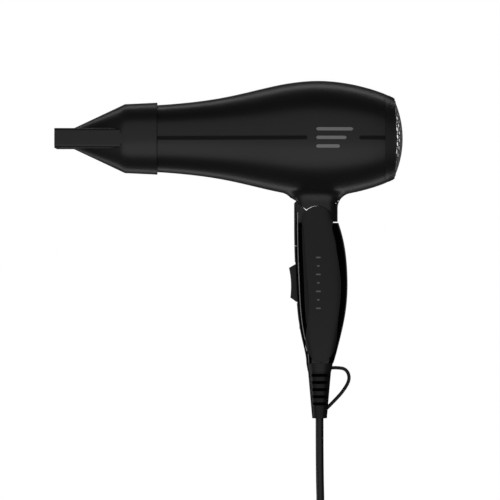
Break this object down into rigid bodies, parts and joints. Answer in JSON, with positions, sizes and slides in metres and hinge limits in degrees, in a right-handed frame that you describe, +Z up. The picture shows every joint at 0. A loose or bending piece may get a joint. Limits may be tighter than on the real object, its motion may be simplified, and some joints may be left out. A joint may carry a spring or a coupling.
{
  "type": "travel hair dryer",
  "caption": "Compact folding hair dryer with a flat concentrator nozzle, honeycomb air intake, rocker switch, hanging loop and a coiled mains cord.",
  "frame": {"origin": "middle of the grip, straight below the fold pivot", "axes": "+X along the barrel towards the air intake, +Z up along the grip, nozzle blows towards -X"},
  "size_m": [0.2534, 0.1267, 0.3659],
  "materials": {
    "soft_touch_black": "soft-touch matte",
    "satin_black": "satin",
    "gloss_black": "polished",
    "panel_black": "fine matte grain",
    "stripe_black": "satin",
    "grille_grey": "satin painted",
    "filter_mesh": "woven mesh",
    "boot_rubber": "matte",
    "cord_rubber": "semi-matte",
    "plug_black": "semi-matte",
    "contact_brass": "bright",
    "steel": "brushed",
    "inner_black": "matte",
    "mica_tan": "matte",
    "heater_wire": "dull",
    "ferrite": "matte",
    "board_green": "lacquered",
    "component_dark": "moulded"
  },
  "bodies": {
    "handle": {"hinge_knuckle": "gloss_black", "hinge_pin": "steel", "grip_rear_shell": "gloss_black", "grip_front_shell": "gloss_black", "side_panel_left": "panel_black", "side_panel_right": "panel_black", "grip_chassis": "inner_black", "grip_screws": "steel", "switch_body": "inner_black", "rocker_pin": "steel", "switch_terminals": "contact_brass", "selector_switch": "inner_black", "grip_collar": "panel_black", "strain_relief": "boot_rubber", "hanging_loop": "boot_rubber", "cord_clamp": "inner_black", "cord_tail": "cord_rubber", "grip_leads": "cord_rubber", "mains_cord": "cord_rubber", "plug_lead": "cord_rubber", "cord_coil": "cord_rubber", "coil_tie": "cord_rubber", "plug_body": "plug_black", "plug_pins": "contact_brass"},
    "barrel": {"barrel_shell_left": "soft_touch_black", "barrel_shell_right": "soft_touch_black", "barrel_screws": "steel", "side_stripes": "stripe_black", "outlet_grille": "inner_black", "mica_sleeve": "mica_tan", "heater_coils": "heater_wire", "mica_boards": "mica_tan", "thermostat": "component_dark", "thermal_fuse": "component_dark", "air_guide": "inner_black", "fan_duct": "inner_black", "motor_can": "steel", "motor_end_cap": "inner_black", "motor_magnets": "ferrite", "rectifier_board": "board_green", "diodes": "component_dark", "hinge_bushes": "contact_brass"},
    "rotor": {"motor_armature": "steel", "fan": "inner_black"},
    "rear_cover": {"rear_ring": "satin_black", "dust_filter": "filter_mesh", "intake_grille": "grille_grey"},
    "nozzle": {"nozzle": "satin_black"},
    "rocker": {"rocker": "panel_black"},
    "selector": {"selector_dial": "panel_black"}
  },
  "joints": [
    {"name": "fold", "type": "hinge", "parent": "handle", "child": "barrel", "pos_m": [0, 0, 0.05], "axis": [0, -1, 0], "range_deg": [0, 90]},
    {"name": "fan_spin", "type": "hinge", "parent": "barrel", "child": "rotor", "pos_m": [0.01, 0, 0.1107], "axis": [1, 0, 0], "continuous": true},
    {"name": "nozzle_turn", "type": "hinge", "parent": "barrel", "child": "nozzle", "pos_m": [-0.12, 0, 0.1107], "axis": [1, 0, 0], "continuous": true},
    {"name": "cover_twist", "type": "hinge", "parent": "barrel", "child": "rear_cover", "pos_m": [0.05, 0, 0.1107], "axis": [1, 0, 0], "range_deg": [0, 20]},
    {"name": "rocker_tilt", "type": "hinge", "parent": "handle", "child": "rocker", "pos_m": [-0.0124, 0, 0.0055], "axis": [0, 1, 0], "range_deg": [-7, 7]},
    {"name": "selector_turn", "type": "hinge", "parent": "handle", "child": "selector", "pos_m": [-0.011, 0, -0.0245], "axis": [1, 0, 0], "range_deg": [0, 90]}
  ]
}
